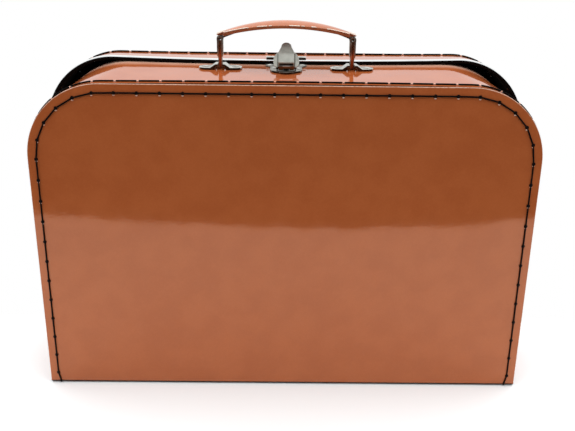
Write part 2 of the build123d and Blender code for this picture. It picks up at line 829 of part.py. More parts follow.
with BuildPart() as grip_cover:
    with BuildSketch(grip_front):
        with BuildLine():
            ThreePointArc(
                (-grip_half_length, grip_end_top), (0, grip_crown), (grip_half_length, grip_end_top)
            )
            ThreePointArc(
                (-grip_half_underside, grip_end_under),
                (0, grip_crown_under),
                (grip_half_underside, grip_end_under),
            )
            for hand in (-1, 1):
                Polyline(
                    (hand * grip_half_length, grip_end_top),
                    (hand * grip_half_length, grip_tongue_under),
                    (hand * grip_half_underside, grip_tongue_under),
                    (hand * grip_half_underside, grip_end_under),
                )
        make_face()
    extrude(amount=grip_half_width, both=True)
    with BuildSketch(Plane((0, handle_y, pivot_z))):
        with BuildLine():
            for way in (-1, 1):
                ThreePointArc(
                    (-grip_half_underside, way * grip_shoulder_half_width),
                    (0, way * grip_half_width),
                    (grip_half_underside, way * grip_shoulder_half_width),
                )
            for hand in (-1, 1):
                Polyline(
                    (hand * grip_half_underside, -grip_shoulder_half_width),
                    (hand * grip_half_underside, -grip_end_half_width),
                    (hand * grip_half_length, -grip_end_half_width),
                    (hand * grip_half_length, grip_end_half_width),
                    (hand * grip_half_underside, grip_end_half_width),
                    (hand * grip_half_underside, grip_shoulder_half_width),
                )
        make_face()
    extrude(amount=grip_crown + overrun, mode=Mode.INTERSECT)
    # The domed top is a hoop about the centre of the grip's arch, its section drawn at the foot
    arc_rise = grip_crown - grip_end_top
    arc_radius = (grip_half_length**2 + arc_rise**2) / (2 * arc_rise)
    hoop_centre = (0, handle_y, pivot_z + grip_crown - arc_radius)
    with BuildPart(mode=Mode.INTERSECT):
        with BuildSketch(Plane(hoop_centre, (0, 1, 0), (1, 0, 0))):
            with BuildLine():
                ThreePointArc(
                    (-grip_half_width, grip_dome - arc_radius),
                    (0, -arc_radius),
                    (grip_half_width, grip_dome - arc_radius),
                )
                Polyline(
                    (grip_half_width, grip_dome - arc_radius),
                    (grip_half_width, grip_crown - arc_radius),
                    (-grip_half_width, grip_crown - arc_radius),
                    (-grip_half_width, grip_dome - arc_radius),
                )
            make_face()
        revolve(axis=Axis(hoop_centre, (0, 1, 0)))
    with BuildSketch(grip_front):
        with BuildLine():
            ThreePointArc((-core_ends[0], core_ends[1]), (0, core_crown), core_ends)
        trace(line_width=core_strip + 2 * paper_gap)
    extrude(amount=core_half_width + paper_gap, both=True, mode=Mode.SUBTRACT)
grip_cover.part.label = "grip_cover"
export_step(grip_cover.part, "parts/grip_cover.step")

# Latch: base plate, a broad T with two lugs for the lever's pin
lug_radius = lever_barrel
lug_inner = block_half + lug_gap
with BuildPart() as latch_base_plate:
    with BuildSketch(Plane((0, latch_front_y, latch_z))):
        with BuildLine():
            ThreePointArc((-latch_lobe[0], latch_lobe[1]), (0, 0), latch_lobe)
            for hand in (-1, 1):
                Polyline(
                    (hand * latch_lobe[0], latch_lobe[1]),
                    (hand * latch_shoulder[0], latch_shoulder[1]),
                    (hand * latch_plate_half, latch_cheek),
                    (hand * latch_plate_half, latch_ear_root),
                    (hand * latch_ear_half, latch_ear_front),
                    (hand * latch_ear_half, latch_plate_depth),
                    (0, latch_plate_depth),
                )
        make_face()
    extrude(amount=latch_plate)
    with BuildSketch(Plane.YZ.offset(-lug_inner - lug)):
        with Locations((lever_y, lever_z)):
            Circle(lug_radius)
        lug_drop = lever_z - latch_top_z + latch_plate / 2
        with Locations((lever_y, lever_z - lug_drop / 2)):
            Rectangle(2 * lug_radius, lug_drop)
    extrude(amount=2 * (lug_inner + lug))
    with Locations((0, lever_y, latch_top_z + 2 * lug_radius)):
        Box(2 * lug_inner, 3 * lug_radius, 4 * lug_radius, mode=Mode.SUBTRACT)
    with BuildSketch(Plane.YZ.offset(-overrun)):
        with Locations((lever_y, lever_z)):
            Circle(latch_pin_radius + running_gap)
    extrude(amount=2 * overrun, mode=Mode.SUBTRACT)
    add([latch_holes, spring_hole], mode=Mode.SUBTRACT)
latch_base_plate.part.label = "latch_base_plate"
export_step(latch_base_plate.part, "parts/latch_base_plate.step")

latch_rivet = rivet(latch_under_z, latch_top_z, latch_rivet_shank, clinched_head, latch_rivet_head)
with BuildPart() as latch_rivets:
    with Locations(*latch_rivet_places):
        add(latch_rivet)
latch_rivets.part.label = "latch_rivets"
export_step(latch_rivets.part, "parts/latch_rivets.step")

# Latch: the pin, with a rounded end outside each lug
with BuildPart() as latch_pin:
    pin_end = lug_inner + lug + latch_pin_end
    with BuildSketch(Plane.YZ.offset(-pin_end)):
        with Locations((lever_y, lever_z)):
            Circle(latch_pin_radius)
    extrude(amount=2 * pin_end)
    fillet(latch_pin.edges(), latch_pin_end)
latch_pin.part.label = "latch_pin"
export_step(latch_pin.part, "parts/latch_pin.step")

# Latch: leaf spring, flat on the plate behind the pin and pressing up the lever's front bar
spring_low = latch_top_z - lever_z
spring_line = [
    (spring_end, spring_low),
    (spring_flat_end, spring_low),
    (-latch_pin_radius, spring_low + 2 * spring_strip),
    (-bar_front, -spring_strip - seat_gap),
]
with BuildPart() as latch_spring:
    with BuildSketch(Plane.YZ.offset(-spring_half_width)):
        underside = [(lever_y + y, lever_z + z) for y, z in spring_line]
        topside = [(y, z + spring_strip) for y, z in underside]
        with BuildLine():
            Polyline(*underside, *reversed(topside), close=True)
        make_face()
    extrude(amount=2 * spring_half_width)
    add(spring_hole, mode=Mode.SUBTRACT)
latch_spring.part.label = "latch_spring"
export_step(latch_spring.part, "parts/latch_spring.step")

with BuildPart() as latch_spring_rivet:
    with Locations(*spring_rivet_places):
        add(
            rivet(
                latch_under_z,
                latch_top_z + spring_strip,
                spring_rivet_shank,
                spring_clinch,
                spring_rivet_head,
            )
        )
latch_spring_rivet.part.label = "latch_spring_rivet"
export_step(latch_spring_rivet.part, "parts/latch_spring_rivet.step")

# Latch: the lever, an eared plate with a raised hollow block, and a hook below it
pitch = lever_pitch * pi / 180
slope_plane = Plane((0, lever_y, lever_z), (1, 0, 0), (0, -sin(pitch), cos(pitch)))
side_plane = Plane((-block_half, lever_y, lever_z), (0, cos(pitch), sin(pitch)), (1, 0, 0))
plate_low = lug_radius + seat_gap
plate_high = plate_low + lever_sheet
block_top = plate_high + block_rise
with BuildPart() as latch_lever:
    with BuildSketch(slope_plane.offset(plate_low)):
        with BuildLine():
            for hand in (-1, 1):
                ear = [(hand * x, v) for x, v in lever_ear]
                Polyline((0, lever_foot[1]), (hand * lever_foot[0], lever_foot[1]), ear[0])
                ThreePointArc(ear[0], ear[1], ear[2])
                ThreePointArc(ear[2], ear[3], ear[4])
                Polyline(
                    ear[4],
                    (hand * lever_shoulder[0], lever_shoulder[1]),
                    (hand * lever_tip_side[0], lever_tip_side[1]),
                )
            ThreePointArc((-lever_tip_side[0], lever_tip_side[1]), lever_tip, lever_tip_side)
        make_face()
    extrude(amount=lever_sheet)
    with BuildSketch(side_plane):
        with BuildLine():
            Polyline(
                (-lever_barrel * sin(pitch) - seat_gap, seat_gap),
                (block_start, block_top),
                (block_end, block_top),
                (block_end + block_slope, plate_high),
                (block_end + block_slope, plate_low),
                (lever_barrel * cos(pitch), -lever_barrel * sin(pitch)),
                close=True,
            )
        make_face()
        Circle(lever_barrel)
    extrude(amount=2 * block_half)
    with BuildSketch(side_plane.offset(block_sheet)):
        with BuildLine():
            Polyline(
                (-overrun, block_top - block_sheet),
                (block_end - block_sheet, block_top - block_sheet),
                (block_end + block_slope - block_sheet, plate_low - overrun),
                (-overrun, plate_low - overrun),
                close=True,
            )
        make_face()
    extrude(amount=2 * (block_half - block_sheet), mode=Mode.SUBTRACT)
    with BuildSketch(Plane.YZ.offset(-block_half)):
        with Locations((lever_y, lever_z)):
            Circle(lever_barrel)
    extrude(amount=block_half - knuckle_inner_half)
    with BuildSketch(Plane.YZ.offset(knuckle_inner_half)):
        with Locations((lever_y, lever_z)):
            Circle(lever_barrel)
    extrude(amount=block_half - knuckle_inner_half)
    arm_middle_z = lever_z + hook_arm_low + hook_arm / 2
    root_start = latch_pin_radius + seat_gap
    with Locations((0, lever_y + (root_start + hook_root_end) / 2, arm_middle_z)):
        Box(2 * block_half, hook_root_end - root_start, hook_arm)
    with Locations((0, lever_y + (root_start + hook_reach) / 2, arm_middle_z)):
        Box(2 * hook_half, hook_reach - root_start, hook_arm)
    tooth_height = hook_arm_low + hook_arm + hook_depth
    with Locations((0, lever_y + hook_reach - hook_arm / 2, lever_z - hook_depth + tooth_height / 2)):
        Box(2 * hook_half, hook_arm, tooth_height)
    with Locations((0, lever_y - (bar_front + bar_back) / 2, lever_z + bar_top / 2)):
        Box(2 * block_half, bar_front - bar_back, bar_top)
    with BuildSketch(Plane.YZ.offset(-overrun)):
        with Locations((lever_y, lever_z)):
            Circle(latch_pin_radius + running_gap)
    extrude(amount=2 * overrun, mode=Mode.SUBTRACT)
latch_lever.part.label = "latch_lever"
export_step(latch_lever.part, "parts/latch_lever.step")

# Latch: the strike on the lid, cranked over the rim, with a slot for the hook's tooth
tongue_z = latch_top_z + lever_barrel_gap
bridge_z = top_height(lid_rim_arch, strike_half) + rim_grip + rim_sheet + seat_gap
bridge_y = rim_front_y - seat_gap
neck_y = bridge_y - strike_slope
with BuildPart() as latch_strike:
    with BuildSketch(Plane.YZ.offset(-strike_half)):
        with BuildLine():
            Polyline(
                (strike_pad_y + strike_depth, strike_z),
                (strike_pad_y, strike_z),
                (strike_pad_y, bridge_z),
                (bridge_y, bridge_z),
                (neck_y, tongue_z),
                (strike_front_y, tongue_z),
                (strike_front_y, tongue_z + strike_sheet),
                (neck_y - strike_bend, tongue_z + strike_sheet),
                (bridge_y - strike_bend, bridge_z + strike_sheet),
                (strike_pad_y + strike_bend, bridge_z + strike_sheet),
                (strike_pad_y + strike_sheet, strike_z + strike_sheet),
                (strike_pad_y + strike_depth, strike_z + strike_sheet),
                close=True,
            )
        make_face()
    extrude(amount=2 * strike_half)
    with BuildSketch(Plane.XY.offset(tongue_z)) as plan:
        with Locations((0, strike_pad_y + strike_depth / 2)):
            RectangleRounded(2 * strike_half, strike_depth, strike_corner)
        with Locations((0, (neck_y + strike_pad_y + strike_corner) / 2)):
            Rectangle(2 * strike_neck_half, strike_pad_y + strike_corner - neck_y)
        with Locations((0, (strike_front_y + strike_pad_y) / 2)):
            Rectangle(2 * strike_tongue_half, strike_pad_y - strike_front_y)
        slot_length = hook_arm + 2 * strike_slot
        with Locations((0, strike_slot_y + slot_length / 2)):
            Rectangle(2 * (hook_half + strike_slot), slot_length, mode=Mode.SUBTRACT)
    extrude(amount=overrun, mode=Mode.INTERSECT)
    add(strike_holes, mode=Mode.SUBTRACT)
latch_strike.part.label = "latch_strike"
export_step(latch_strike.part, "parts/latch_strike.step")

strike_rivet = rivet(
    strike_under_z, strike_z + strike_sheet, latch_rivet_shank, clinched_head, latch_rivet_head
)
with BuildPart() as strike_rivets:
    with Locations(*strike_rivet_places):
        add(strike_rivet)
strike_rivets.part.label = "strike_rivets"
export_step(strike_rivets.part, "parts/strike_rivets.step")
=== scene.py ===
from math import atan, copysign, cos, hypot, pi, radians, sin, tan

import bmesh
import bpy
from mathutils import Matrix, Vector


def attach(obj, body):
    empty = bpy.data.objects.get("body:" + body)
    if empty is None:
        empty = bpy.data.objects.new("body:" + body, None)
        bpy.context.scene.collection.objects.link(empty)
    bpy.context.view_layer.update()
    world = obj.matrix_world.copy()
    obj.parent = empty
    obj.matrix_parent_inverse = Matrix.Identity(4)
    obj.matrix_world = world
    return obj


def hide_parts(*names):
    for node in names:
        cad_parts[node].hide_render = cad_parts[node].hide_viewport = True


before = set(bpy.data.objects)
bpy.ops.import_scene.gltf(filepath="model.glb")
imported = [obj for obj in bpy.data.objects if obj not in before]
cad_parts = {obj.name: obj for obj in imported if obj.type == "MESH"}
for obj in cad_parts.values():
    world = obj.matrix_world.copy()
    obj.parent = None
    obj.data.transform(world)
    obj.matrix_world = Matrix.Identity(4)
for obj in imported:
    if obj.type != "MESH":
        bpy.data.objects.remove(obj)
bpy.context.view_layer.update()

# Camera, where the photo was taken from: about half a metre off, looking down 20 degrees.
# The case stands on its bottom edge, the face of the deeper tray towards it. Sizes are in metres:
# X along the case, Y from that face to the lid, Z up from the table.
CAMERA_PLACE = -0.002157, -0.561472, 0.326163
PITCH, YAW, ROLL = radians(20.518), radians(0.453), radians(-0.712)
LENS, SENSOR, NEAR_CLIP = 48.56, 36, 0.01
camera = bpy.data.objects.new("camera", bpy.data.cameras.new("camera"))
bpy.context.scene.collection.objects.link(camera)
bpy.context.scene.camera = camera
camera.data.lens, camera.data.sensor_width, camera.data.clip_start = LENS, SENSOR, NEAR_CLIP
look = Vector((sin(YAW) * cos(PITCH), cos(YAW) * cos(PITCH), -sin(PITCH)))
level = Vector((cos(YAW), -sin(YAW), 0))
below = look.cross(level)
across = cos(ROLL) * level + sin(ROLL) * below
below = -sin(ROLL) * level + cos(ROLL) * below
turned = Matrix((across, -below, -look)).transposed().to_4x4()
camera.matrix_world = Matrix.Translation(CAMERA_PLACE) @ turned
bpy.context.view_layer.update()


# Table: white card under the case, which its glossy face mirrors up to half its height, where
# the card ends in front. Beyond that edge the glossy face mirrors a dark room. Behind the case
# the card fades out, since the open lid hangs lower than the case stands.
class Wire:
    """An output socket of a shader node. Arithmetic on it adds Math nodes to its material."""

    def __init__(self, socket):
        self.socket = socket

    def math(self, operation, *values):
        return node(self.socket.id_data, "Math", {"operation": operation}, dict(enumerate(values)))

    def __add__(self, other):
        return self.math("ADD", self, other)

    def __rsub__(self, other):
        return self.math("SUBTRACT", other, self)

    def __mul__(self, other):
        return self.math("MULTIPLY", self, other)

    def __abs__(self):
        return self.math("ABSOLUTE", self)

    def rise(self, low, high):
        """0 below low, 1 above high, and a smooth rise between them."""
        settings = {"interpolation_type": "SMOOTHSTEP"}
        return node(self.socket.id_data, "MapRange", settings, {0: self, 1: low, 2: high})

    __radd__, __rmul__ = __add__, __mul__


def node(tree, kind, settings, sockets, output=0):
    """Makes one shader node and returns one of its outputs."""
    made = tree.nodes.new("ShaderNode" + kind)
    for name, value in settings.items():
        setattr(made, name, value)
    for name, value in sockets.items():
        if isinstance(value, Wire):
            tree.links.new(value.socket, made.inputs[name])
        else:
            made.inputs[name].default_value = value
    return Wire(made.outputs[output]) if made.outputs else made


def with_alpha(values):
    """The same values, with an alpha of 1 added to each colour."""
    return {k: (*v, 1) if isinstance(v, tuple) else v for k, v in values.items()}


class Finish:
    """A material under construction: its noise, mixes and shader, by name."""

    def __init__(self, name):
        self.material = bpy.data.materials.new(name)
        self.material.use_nodes = True
        self.tree = self.material.node_tree
        self.tree.nodes.clear()
        self.place = node(self.tree, "TexCoord", {}, {}, "Object")

    def node(self, kind, settings=(), sockets=(), output=0):
        return node(self.tree, kind, dict(settings), dict(sockets), output)

    def noise(self, scale, detail=2, stretch=(1, 1, 1)):
        stretched = self.node("Mapping", {}, {"Vector": self.place, "Scale": stretch})
        return self.node("TexNoise", {}, {"Vector": stretched, "Scale": scale, "Detail": detail})

    def mix(self, share, first, second):
        colours = with_alpha({0: share, 6: first, 7: second})
        return self.node("Mix", {"data_type": "RGBA"}, colours, 2)

    def axis(self, name):
        return self.node("SeparateXYZ", {}, {0: self.place}, name)

    def bump(self, height, distance, normal=None):
        sockets = {"Height": height, "Distance": distance, "Strength": 1}
        if normal:
            sockets["Normal"] = normal
        return self.node("Bump", {}, sockets)

    def surface(self, **sockets):
        """The Principled shader that ends the material. Colours may be given without an alpha."""
        named = {name.replace("_", " "): value for name, value in sockets.items()}
        shader = self.node("BsdfPrincipled", {}, with_alpha(named))
        self.node("OutputMaterial", {}, {"Surface": shader})
        return self.material


def on_stage(name, bm, material):
    """Sets up a surface around the case that isn't part of it."""
    mesh = bpy.data.meshes.new(name)
    bm.to_mesh(mesh)
    bm.free()
    obj = bpy.data.objects.new(name, mesh)
    bpy.context.scene.collection.objects.link(obj)
    obj.data.materials.append(material)


MM = 0.001
CARD_FRONT, CARD_BACK, CARD_HALF = -0.376, 0.55, 0.9
FADE_START, FADE_END = 0.026, 0.055
NOTCH_FRONT, NOTCH_HALF = 0.0255, 0.181
card = Finish("white card")
aside, behind = abs(card.axis("X")), card.axis("Y")
notch = (1 - aside.rise(NOTCH_HALF, NOTCH_HALF + MM)) * behind.rise(NOTCH_FRONT, NOTCH_FRONT + MM)
gone = notch.math("MAXIMUM", notch, behind.rise(FADE_START, FADE_END))
bm = bmesh.new()
bmesh.ops.create_grid(bm, x_segments=1, y_segments=1, size=1)
bmesh.ops.scale(bm, vec=(CARD_HALF, (CARD_BACK - CARD_FRONT) / 2, 1), verts=bm.verts)
bmesh.ops.translate(bm, vec=(0, (CARD_BACK + CARD_FRONT) / 2, 0), verts=bm.verts)
matt_white = card.surface(
    Base_Color=(0.95, 0.98, 0.99), Roughness=1.0, Specular_IOR_Level=0.0, Alpha=1 - gone
)
on_stage("card", bm, matt_white)

ROOM_DEPTH, ROOM_HALF, ROOM_HEIGHT = 1.8, 2.0, 1.3
room = Finish("dark room")
bm = bmesh.new()
near = [bm.verts.new((x, CARD_FRONT, -MM)) for x in (-ROOM_HALF, ROOM_HALF)]
strip = bmesh.ops.extrude_edge_only(bm, edges=[bm.edges.new(near)])["geom"]
far = [v for v in strip if isinstance(v, bmesh.types.BMVert)]
bmesh.ops.translate(bm, vec=(0, -ROOM_DEPTH, 0), verts=far)
edge = [e for e in bm.edges if all(v in far for v in e.verts)]
wall = bmesh.ops.extrude_edge_only(bm, edges=edge)["geom"]
top = [v for v in wall if isinstance(v, bmesh.types.BMVert)]
bmesh.ops.translate(bm, vec=(0, 0, ROOM_HEIGHT), verts=top)
dark_walls = room.surface(
    Base_Color=(0.02, 0.018, 0.016),
    Roughness=1.0,
    Specular_IOR_Level=0.0,
    Emission_Color=(1, 1, 1),
    Emission_Strength=room.node("LightPath", {}, {}, "Is Camera Ray"),
)
on_stage("room", bm, dark_walls)

# Light: one broad soft lamp overhead and pale surroundings. The background shows as white, and
# polished surfaces mirror it and not the lamp.
AMBIENT, LAMP_POWER = 0.70, 52
LAMP_SIZE, LAMP_PLACE = (3.2, 2.6), (0.1, 0.2, 1.7)
world = bpy.data.worlds.new("world")
bpy.context.scene.world = world
world.use_nodes = True
world.node_tree.nodes.clear()
seen = node(world.node_tree, "LightPath", {}, {}, "Is Camera Ray")
shone = node(world.node_tree, "LightPath", {}, {}, "Is Glossy Ray")
passed = node(world.node_tree, "LightPath", {}, {}, "Is Transmission Ray")
plainly = seen.math("MAXIMUM", seen.math("MAXIMUM", seen, shone), passed)
strength = plainly * (1 - AMBIENT) + AMBIENT
glow = node(world.node_tree, "Background", {}, {"Color": (1, 1, 1, 1), "Strength": strength})
node(world.node_tree, "OutputWorld", {}, {"Surface": glow})
bpy.context.scene.view_settings.view_transform = "Standard"
overhead = bpy.data.objects.new("overhead", bpy.data.lights.new("overhead", "AREA"))
overhead.data.shape, overhead.data.energy = "RECTANGLE", LAMP_POWER
overhead.data.size, overhead.data.size_y = LAMP_SIZE
overhead.location = LAMP_PLACE
overhead.visible_glossy = False
bpy.context.scene.collection.objects.link(overhead)

# Base tray, face: a D of solid board 1.6 mm thick, coated glossy brown. Its lower edge is folded
# under into the bottom. The cut edge of the board and the underside of the fold are painted dark
# as shade, and the arris is pale, the cut edge's colour with a painted highlight.
HALF_WIDTH, HEIGHT, CORNER_RADIUS = 0.175, 0.2276, 0.0517
FRONT_Y, BACK_Y, MOUTH_Y = -0.055, 0.055, 0.025
BOARD, FOLD_RADIUS, FOLD_TOP, HINGE_GAP = 1.6 * MM, 3.2 * MM, 4 * MM, 5 * MM
ARRIS, ARC_STEPS, FOLD_STEPS = 0.4 * MM, 28, 8
EDGE_ON, UNDERNEATH = 0.3, -0.45
# Where the top of the wall is painted pale as sheen and made duller.
SHEEN_FRONT, SHEEN_BACK, SHEEN_LOW, SHEEN_HIGH = 22 * MM, 4 * MM, 200 * MM, 225 * MM


def srgb(red, green, blue):
    """A colour read off the photo, as the linear values that a shader takes."""
    shares = (c / 255 for c in (red, green, blue))
    return tuple(c / 12.92 if c <= 0.04045 else ((c + 0.055) / 1.055) ** 2.4 for c in shares)


# CUT_EDGE is the sawn board's colour; it is also painted as sheen on the wall and as highlight on
# the arrises.
COAT_BROWN, COAT_DEEP, CUT_EDGE = srgb(181, 97, 53), srgb(173, 90, 48), srgb(214, 178, 158)


def coated_board(name, shade, gloss, tint=(1, 1, 1), sheen_depth=1.0):
    """Glossy coated board: faint mottle in the colour and slow waves in the coat. Its sheen takes
    a tint. High up, just before the depth Y = sheen_depth, the colour is painted pale as a painted
    sheen and the coat made duller. That depth lies beyond the case unless it is given."""
    coat = Finish(name)
    mottle = coat.noise(60, 4).rise(0.35, 0.65)
    speck = coat.noise(900, 2).rise(0.45, 0.6)
    waves = coat.noise(34, 1, (1, 1, 0.6))
    peel = coat.bump(coat.noise(420, 2), 0.02 * MM)
    deep, pale = (tuple(c * shade for c in colour) for colour in (COAT_DEEP, COAT_BROWN))
    colour = coat.mix(mottle * 0.7 + speck * 0.3, deep, pale)
    near_mouth = coat.axis("Y").rise(sheen_depth - SHEEN_FRONT, sheen_depth - SHEEN_BACK)
    # Painted sheen: pale colour painted high up near the mouth, with the coat made duller there.
    painted_sheen_zone = near_mouth * coat.axis("Z").rise(SHEEN_LOW, SHEEN_HIGH)
    return coat.surface(
        Base_Color=coat.mix(painted_sheen_zone * (0.75 + 0.2 * mottle), colour, CUT_EDGE),
        Roughness=0.04 + 0.04 * speck + 0.26 * painted_sheen_zone,
        IOR=gloss,
        Specular_Tint=tint,
        Normal=coat.bump(waves, 0.25 * MM, peel),
    )


def cut_edge(name):
    """The sawn edge of the board, with its layers and a thin wash of the coat."""
    edge = Finish(name)
    fibre = edge.noise(700, 3, (1, 3, 1))
    colour = edge.mix(fibre.rise(0.2, 0.6), COAT_BROWN, CUT_EDGE)
    return edge.surface(Base_Color=colour, Roughness=0.5, Normal=edge.bump(fibre, 0.1 * MM))


def painted_shade_edge(name):
    """A cut edge painted nearly black as shade, for the groove where two boards meet and other
    edges in shadow.
    """
    edge = Finish(name)
    fibre = edge.noise(500, 3, (1, 3, 1)).rise(0.3, 0.7)
    colour = edge.mix(fibre, (0.018, 0.006, 0.003), (0.07, 0.026, 0.014))
    return edge.surface(
        Base_Color=colour, Roughness=0.7, IOR=1.1, Normal=edge.bump(fibre, 0.1 * MM)
    )


def eased(bm, edges, width, steps=2, material=-1):
    """Rounds edges off by this width."""
    bmesh.ops.bevel(
        bm,
        geom=edges,
        offset=width,
        segments=steps,
        profile=0.5,
        affect="EDGES",
        material=material,
        clamp_overlap=True,
    )


def piece(name, bm, materials, body, replaced=(), smooth=30):
    """Makes a finished mesh into an object that rides on a body and takes its slot."""
    bmesh.ops.recalc_face_normals(bm, faces=bm.faces)
    mesh = bpy.data.meshes.new(name)
    bm.to_mesh(mesh)
    bm.free()
    obj = bpy.data.objects.new(name, mesh)
    bpy.context.scene.collection.objects.link(obj)
    mesh.shade_smooth()
    mesh.set_sharp_from_angle(angle=radians(smooth))
    for material in materials:
        mesh.materials.append(material)
    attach(obj, body)
    if replaced:
        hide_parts(*replaced)


def face_board(half, height, radius, face_y, inward, floor_end):
    """A D-shaped sheet whose bottom edge is folded inwards, given its thickness."""
    bm = bmesh.new()
    corners = [(-half, 0), (-half, height), (half, height), (half, 0)]
    verts = [bm.verts.new((x, face_y, z)) for x, z in corners]
    bm.faces.new(verts)
    bmesh.ops.bevel(
        bm,
        geom=verts[1:3],
        offset=radius,
        offset_type="OFFSET",
        segments=ARC_STEPS,
        profile=0.5,
        affect="VERTICES",
        material=-1,
    )
    hem = [e for e in bm.edges if all(v.co.z < MM for v in e.verts)]
    fold = bmesh.ops.extrude_edge_only(bm, edges=hem)["geom"]
    ends = [v for v in fold if isinstance(v, bmesh.types.BMVert)]
    bmesh.ops.translate(bm, vec=(0, floor_end - face_y, 0), verts=ends)
    crease = [e for e in bm.edges if all(abs(v.co.y - face_y) + v.co.z < MM for v in e.verts)]
    eased(bm, crease, FOLD_RADIUS, FOLD_STEPS)
    bmesh.ops.recalc_face_normals(bm, faces=bm.faces)
    if sum(f.normal.y * f.calc_area() for f in bm.faces) * inward > 0:
        bmesh.ops.reverse_faces(bm, faces=bm.faces)
    bmesh.ops.solidify(bm, geom=bm.faces[:], thickness=BOARD)
    bm.normal_update()
    # Sawn edges and the underside of the fold take the third finish, painted dark as shade.
    for face in bm.faces:
        facing, middle = face.normal, face.calc_center_median()
        sawn = abs(facing.y) < EDGE_ON and (abs(facing.x) > EDGE_ON or middle.z > FOLD_TOP)
        under = facing.z < UNDERNEATH and abs(middle.y - face_y) < FOLD_RADIUS
        face.material_index = 2 * int(sawn or under)
    # The arris takes the second finish, pale: the cut edge's colour with a painted highlight.
    arris = [
        e
        for e in bm.edges
        if len({f.material_index for f in e.link_faces}) == 2
        and max(v.co.z for v in e.verts) > 2 * BOARD
        and all(abs(v.co.y - face_y) < BOARD / 2 for v in e.verts)
    ]
    eased(bm, arris, ARRIS, 3, 1)
    return bm


board_coat = coated_board("coated board", 0.95, 1.8, (1.0, 0.58, 0.42))
# The pale cut-edge finish doubles as a painted highlight, and the dark finish is painted shade.
cut_edge_highlight, painted_shade_finish = cut_edge("cut board edge and painted highlight"), painted_shade_edge("edge painted dark as shade")
face_finish = [board_coat, cut_edge_highlight, painted_shade_finish]
bm = face_board(HALF_WIDTH, HEIGHT, CORNER_RADIUS, FRONT_Y, 1, MOUTH_Y - HINGE_GAP)
piece("base_face_board", bm, face_finish, "base", ["base_panel"])


# Base tray, wall: one strip of the same board bent round three sides, its feet turned in over the
# bottom. Its corners tuck in towards the mouth. There its cut edge and the last of its outer face
# are pale, the cut edge's colour with a painted highlight, and the edge in the groove beside the
# face board is painted dark as shade.
class Arch:
    """Outline of a bent wall: straight sides, round corners and a slightly bowed top."""

    def __init__(self, half, height, radius, rise):
        self.values = half, height, radius, rise
        self.half, self.height, self.radius = half, height, radius
        self.middle = half - radius
        self.slope = 2 * atan(rise / self.middle)

    def towards(self, other, share):
        """The outline at this share of the way to another."""
        return Arch(*(a + (b - a) * share for a, b in zip(self.values, other.values)))

    def top(self, x, inset=0):
        """Height of the bowed top line above x."""
        radius = self.radius - inset
        join_x = self.middle + radius * sin(self.slope)
        join_z = self.height - self.radius + radius * cos(self.slope)
        return join_z + (join_x**2 - x**2) * tan(self.slope / 2) / join_x

    def line(self, inset, foot, tab):
        """Points of the bent strip from its left foot to its right, moved in by inset."""
        radius, low = self.radius - inset, self.height - self.radius
        side = self.half - inset
        heel = HEEL_RADIUS - inset
        right = [(side, foot)]
        if tab:
            turns = [pi / 2 * k / HEEL_STEPS for k in range(HEEL_STEPS + 1)]
            right = [(self.half - tab, foot + inset)]
            right += [
                (side - heel + heel * sin(turn), foot + inset + heel - heel * cos(turn))
                for turn in turns
            ]
        for k in range(ARC_STEPS + 1):
            turn = (pi / 2 - self.slope) * k / ARC_STEPS
            right.append((self.middle + radius * cos(turn), low + radius * sin(turn)))
        join_x = right[-1][0]
        right += [(join_x * (1 - k / TOP_STEPS), 0) for k in range(1, TOP_STEPS + 1)]
        right = right[:-TOP_STEPS] + [(x, self.top(x, inset)) for x, _ in right[-TOP_STEPS:]]
        return [(-x, z) for x, z in right[:-1]] + right[::-1]

    def depth(self, x, z):
        """How far a point lies inside the outer edge."""
        low = self.height - self.radius
        if abs(x) < self.middle:
            return self.top(x) - z
        return self.radius - hypot(abs(x) - self.middle, max(z - low, 0))

    def along(self, run, inset):
        """Point at this run along the outer edge from the top's middle, moved in by inset."""
        bend = self.radius * pi / 2
        length, low = abs(run), self.height - self.radius
        if length <= self.middle:
            x, z = length, self.top(length) - inset
        elif length <= self.middle + bend:
            turn = pi / 2 - (length - self.middle) / self.radius
            x = self.middle + (self.radius - inset) * cos(turn)
            z = low + (self.radius - inset) * sin(turn)
        else:
            x, z = self.half - inset, low - (length - self.middle - bend)
        return (x, z) if run >= 0 else (-x, z)


def swept(rows, foot, tab):
    """A closed section carried along the wall's outline. Each row is (y, arch, inset)."""
    bm = bmesh.new()
    chains = [
        [bm.verts.new((x, y, z)) for x, z in arch.line(inset, foot, tab)] for y, arch, inset in rows
    ]
    for first, second in zip(chains, chains[1:] + chains[:1]):
        for k in range(len(first) - 1):
            bm.faces.new((first[k], first[k + 1], second[k + 1], second[k]))
    for end in (0, -1):
        bm.faces.new([chain[end] for chain in chains])
    return bm


def wall_strip(near_y, near, far_y, far, foot, tab, groove, flare=0):
    """A wall between two arches. Its edge beside the face board is eased to leave a groove, and
    its outer face flares gently towards the other edge."""

    def row(y, inset):
        return (y, near.towards(far, (y - near_y) / (far_y - near_y)), inset)

    way = 1 if far_y > near_y else -1
    ease = WALL_EASE
    flared = [
        row(far_y - way * FLARE_LENGTH * (1 - share), -flare * share**2)
        for share in (k / FLARE_STEPS for k in range(FLARE_STEPS))
    ]
    bm = swept(
        [
            row(near_y, groove),
            row(near_y + way * groove, 0),
            *(flared if flare else []),
            row(far_y - way * 4 * ease, -flare),
            row(far_y - way * ease, -flare),
            row(far_y, ease),
            row(far_y, BOARD - ease),
            row(far_y - way * ease, BOARD),
            row(near_y, BOARD),
        ],
        foot,
        tab,
    )
    bm.normal_update()
    # Faces at the mouth take the second finish and those in the groove the third; the callers use
    # these for painted highlight and painted shade.
    for face in bm.faces:
        at_mouth = all(abs(v.co.y - far_y) < 5 * ease for v in face.verts)
        in_groove = all(abs(v.co.y - near_y) < 2 * groove for v in face.verts)
        face.material_index = 1 if at_mouth else 2 * int(in_groove)
    return bm


